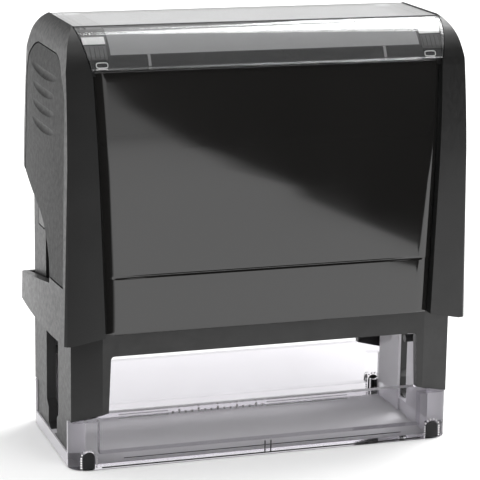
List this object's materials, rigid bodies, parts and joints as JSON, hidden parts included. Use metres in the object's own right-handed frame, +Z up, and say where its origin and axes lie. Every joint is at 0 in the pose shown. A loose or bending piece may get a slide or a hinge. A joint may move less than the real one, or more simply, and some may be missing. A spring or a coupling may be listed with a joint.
{
  "type": "self inking stamp",
  "caption": "Self inking stamp at rest: clear base, dark frame, press-down cap with glossy panel and index window, flipping die and slide-out ink cartridge.",
  "frame": {"origin": "middle of the base's underside", "axes": "+X along the length, +Y to the back, +Z up"},
  "size_m": [0.0954, 0.0454, 0.0976],
  "materials": {
    "dark_shell": "satin, fine grain",
    "grip_grain": "fine grain",
    "frame_grey": "satin",
    "gloss_black": "polished",
    "clear": "clear moulded plastic",
    "card": "matte",
    "foot": "matte",
    "spring": "drawn wire",
    "pin": "turned",
    "die_plastic": "satin",
    "foam": "open cell foam",
    "plate": "moulded rubber",
    "cartridge": "satin",
    "ink": "inked felt",
    "button": "satin"
  },
  "bodies": {
    "base": {"frame_housing": "frame_grey", "clear_base": "clear", "rubber_feet": "foot", "spring_guides": "frame_grey", "flip_guides": "frame_grey"},
    "cap": {"cap_shell": "dark_shell", "front_panel": "gloss_black", "rear_panel": "gloss_black", "grip_panel_left": "grip_grain", "grip_panel_right": "grip_grain", "index_card": "card", "yoke": "die_plastic", "return_spring_left": "spring", "return_spring_right": "spring"},
    "window": {"index_window": "clear"},
    "die": {"die_mount": "die_plastic", "die_cushion": "foam", "text_plate": "plate", "pivot_pins": "pin", "flip_cams": "die_plastic"},
    "cartridge": {"cartridge_tray": "cartridge", "ink_pad": "ink", "cartridge_grip": "cartridge"},
    "lock_left": {"lock_button_left": "button"},
    "lock_right": {"lock_button_right": "button"}
  },
  "joints": [
    {"name": "cap_press", "type": "slide", "parent": "base", "child": "cap", "axis": [0, 0, -1], "range_m": [0, 0.025], "stiffness_N_per_m": 350, "springref_m": -0.012, "deforming": ["return_spring_left", "return_spring_right"]},
    {"name": "die_flip", "type": "hinge", "parent": "cap", "child": "die", "pos_m": [0, 0, 0.033], "axis": [1, 0, 0], "range_deg": [-0.5, 180.5]},
    {"name": "window_lift", "type": "slide", "parent": "cap", "child": "window", "axis": [0, 0, 1], "range_m": [0, 0.016]},
    {"name": "cartridge_slide", "type": "slide", "parent": "base", "child": "cartridge", "axis": [0, 1, 0], "range_m": [0, 0.045]},
    {"name": "lock_left_press", "type": "slide", "parent": "base", "child": "lock_left", "axis": [1, 0, 0], "range_m": [0, 0.0015], "stiffness_N_per_m": 800, "springref_m": -0.001},
    {"name": "lock_right_press", "type": "slide", "parent": "base", "child": "lock_right", "axis": [-1, 0, 0], "range_m": [0, 0.0015], "stiffness_N_per_m": 800, "springref_m": -0.001}
  ],
  "couplings": [
    {"joint": "die_flip", "follows": "cap_press", "rad_per_m": 125.66}
  ]
}
